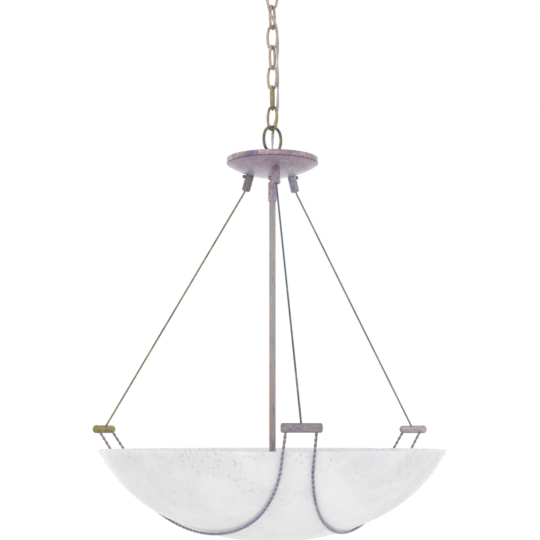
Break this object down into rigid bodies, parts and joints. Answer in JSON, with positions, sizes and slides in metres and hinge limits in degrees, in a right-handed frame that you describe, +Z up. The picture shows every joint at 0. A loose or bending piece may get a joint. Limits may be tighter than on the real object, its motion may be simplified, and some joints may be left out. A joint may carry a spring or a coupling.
{
  "type": "bowl pendant light",
  "caption": "Chain-hung pendant light with an alabaster-style glass bowl in a cradle of twisted rods, on wire cables from a saucer hub, with a stem that carries a lamp cluster.",
  "frame": {"origin": "middle of the mounting strap's two screw holes, on the ceiling plane", "axes": "+Z up, out of the ceiling face; -Y to the front crossbar; +X along the mounting strap"},
  "size_m": [0.5276, 0.5441, 0.9063],
  "materials": {
    "patina": "mottled aged bronze, satin",
    "cable_wire": "twisted wire rope with a bronze wash",
    "chain_brass": "aged brass, satin",
    "screw_steel": "turned steel",
    "zinc_steel": "zinc plated",
    "ground_green": "green dyed screw",
    "cord_jacket": "silver grey lamp cord",
    "nylon": "natural nylon",
    "cluster_paint": "white enamel",
    "holder_phenolic": "glazed porcelain",
    "contact_brass": "plain brass",
    "lamp_cap_metal": "rolled aluminium screw cap",
    "lamp_frosted": "frosted white lamp glass",
    "alabaster_glass": "alabaster style glass, white with soft grey swirls"
  },
  "bodies": {
    "ceiling_fitting": {"mounting_strap": "zinc_steel", "ground_screw": "ground_green", "canopy_nipple": "zinc_steel", "strap_nut": "screw_steel", "ceiling_canopy": "patina", "canopy_loop": "chain_brass", "canopy_collar": "patina", "supply_cord": "cord_jacket"},
    "link_1": {"chain_link_1": "chain_brass"},
    "link_2": {"chain_link_2": "chain_brass"},
    "link_3": {"chain_link_3": "chain_brass"},
    "link_4": {"chain_link_4": "chain_brass"},
    "link_5": {"chain_link_5": "chain_brass"},
    "link_6": {"chain_link_6": "chain_brass"},
    "link_7": {"chain_link_7": "chain_brass"},
    "hub": {"hub_loop": "chain_brass", "hub_cover": "patina", "hub_pan": "patina", "hub_nipple": "zinc_steel", "hub_nut": "screw_steel", "grip_nuts": "screw_steel", "swivel_ball": "patina", "cable_grip_front": "patina", "cable_grip_right": "patina", "cable_grip_left": "patina", "set_screw_front": "screw_steel", "set_screw_right": "screw_steel", "set_screw_left": "screw_steel", "suspension_cable_front": "cable_wire", "suspension_cable_right": "cable_wire", "suspension_cable_left": "cable_wire"},
    "swivel": {"swivel_liner": "nylon"},
    "stem": {"swivel_cup": "patina", "stem_coupling": "patina", "stem_tube": "patina", "stem_check_nut": "patina", "cluster_body": "cluster_paint", "cluster_cover": "cluster_paint", "cluster_finial": "cluster_paint", "socket_arms": "zinc_steel", "socket_shells": "contact_brass", "socket_contacts": "contact_brass", "lamp_holder_front": "holder_phenolic", "lamp_holder_right": "holder_phenolic", "lamp_holder_left": "holder_phenolic"},
    "lamp_front_cap": {"lamp_cap_front": "lamp_cap_metal"},
    "lamp_front": {"lamp_glass_front": "lamp_frosted"},
    "lamp_right_cap": {"lamp_cap_right": "lamp_cap_metal"},
    "lamp_right": {"lamp_glass_right": "lamp_frosted"},
    "lamp_left_cap": {"lamp_cap_left": "lamp_cap_metal"},
    "lamp_left": {"lamp_glass_left": "lamp_frosted"},
    "cradle": {"crossbar_front": "patina", "crossbar_right": "patina", "crossbar_left": "patina", "cradle_rod_right": "patina", "cradle_rod_back": "patina", "cradle_rod_left": "patina"},
    "bowl": {"glass_bowl": "alabaster_glass"}
  },
  "joints": [
    {"name": "chain_swing_1", "type": "hinge", "parent": "ceiling_fitting", "child": "link_1", "pos_m": [0, 0, -0.0715], "axis": [0.5736, 0.8192, 0], "range_deg": [-14, 14], "deforming": ["supply_cord"]},
    {"name": "chain_swing_2", "type": "hinge", "parent": "link_1", "child": "link_2", "pos_m": [0, 0, -0.1027], "axis": [0.8192, -0.5736, 0], "range_deg": [-14, 14], "deforming": ["supply_cord"]},
    {"name": "chain_swing_3", "type": "hinge", "parent": "link_2", "child": "link_3", "pos_m": [0, 0, -0.1344], "axis": [0.5299, 0.848, 0], "range_deg": [-14, 14], "deforming": ["supply_cord"]},
    {"name": "chain_swing_4", "type": "hinge", "parent": "link_3", "child": "link_4", "pos_m": [0, 0, -0.1661], "axis": [0.7986, -0.6018, 0], "range_deg": [-14, 14], "deforming": ["supply_cord"]},
    {"name": "chain_swing_5", "type": "hinge", "parent": "link_4", "child": "link_5", "pos_m": [0, 0, -0.1978], "axis": [0.5592, 0.829, 0], "range_deg": [-14, 14], "deforming": ["supply_cord"]},
    {"name": "chain_swing_6", "type": "hinge", "parent": "link_5", "child": "link_6", "pos_m": [0, 0, -0.2295], "axis": [0.6947, -0.7193, 0], "range_deg": [-14, 14], "deforming": ["supply_cord"]},
    {"name": "chain_swing_7", "type": "hinge", "parent": "link_6", "child": "link_7", "pos_m": [0, 0, -0.2612], "axis": [0.342, 0.9397, 0], "range_deg": [-14, 14], "deforming": ["supply_cord"]},
    {"name": "hub_swing", "type": "hinge", "parent": "link_7", "child": "hub", "pos_m": [0, 0, -0.2929], "axis": [0.7431, -0.6691, 0], "range_deg": [-14, 14], "deforming": ["supply_cord"]},
    {"name": "stem_swing_a", "type": "hinge", "parent": "hub", "child": "swivel", "pos_m": [0, 0, -0.37673], "axis": [0.7071, 0.7071, 0], "range_deg": [-6, 6]},
    {"name": "stem_swing_b", "type": "hinge", "parent": "swivel", "child": "stem", "pos_m": [0, 0, -0.37673], "axis": [0.7071, -0.7071, 0], "range_deg": [-6, 6]},
    {"name": "lamp_travel_front", "type": "slide", "parent": "stem", "child": "lamp_front_cap", "axis": [0, -1, 0], "range_m": [0, 0.0164]},
    {"name": "lamp_turn_front", "type": "hinge", "parent": "lamp_front_cap", "child": "lamp_front", "pos_m": [0, 0, -0.8115], "axis": [0, -1, 0], "range_deg": [0, 1620]},
    {"name": "lamp_travel_right", "type": "slide", "parent": "stem", "child": "lamp_right_cap", "axis": [0.866, 0.5, 0], "range_m": [0, 0.0164]},
    {"name": "lamp_turn_right", "type": "hinge", "parent": "lamp_right_cap", "child": "lamp_right", "pos_m": [0, 0, -0.8115], "axis": [0.866, 0.5, 0], "range_deg": [0, 1620]},
    {"name": "lamp_travel_left", "type": "slide", "parent": "stem", "child": "lamp_left_cap", "axis": [-0.866, 0.5, 0], "range_m": [0, 0.0164]},
    {"name": "lamp_turn_left", "type": "hinge", "parent": "lamp_left_cap", "child": "lamp_left", "pos_m": [0, 0, -0.8115], "axis": [-0.866, 0.5, 0], "range_deg": [0, 1620]},
    {"name": "cradle_turn", "type": "hinge", "parent": "hub", "child": "cradle", "pos_m": [0, 0, -0.7735], "axis": [0, 0, 1], "range_deg": [-10, 10], "stiffness_Nm_per_rad": 1.4, "deforming": ["suspension_cable_front", "suspension_cable_right", "suspension_cable_left"]},
    {"name": "bowl_lift", "type": "slide", "parent": "cradle", "child": "bowl", "axis": [0, 0, 1], "range_m": [0, 0.03]}
  ],
  "couplings": [
    {"joint": "lamp_travel_front", "follows": "lamp_turn_front", "m_per_rad": 0.00057773},
    {"joint": "lamp_travel_right", "follows": "lamp_turn_right", "m_per_rad": 0.00057773},
    {"joint": "lamp_travel_left", "follows": "lamp_turn_left", "m_per_rad": 0.00057773}
  ]
}
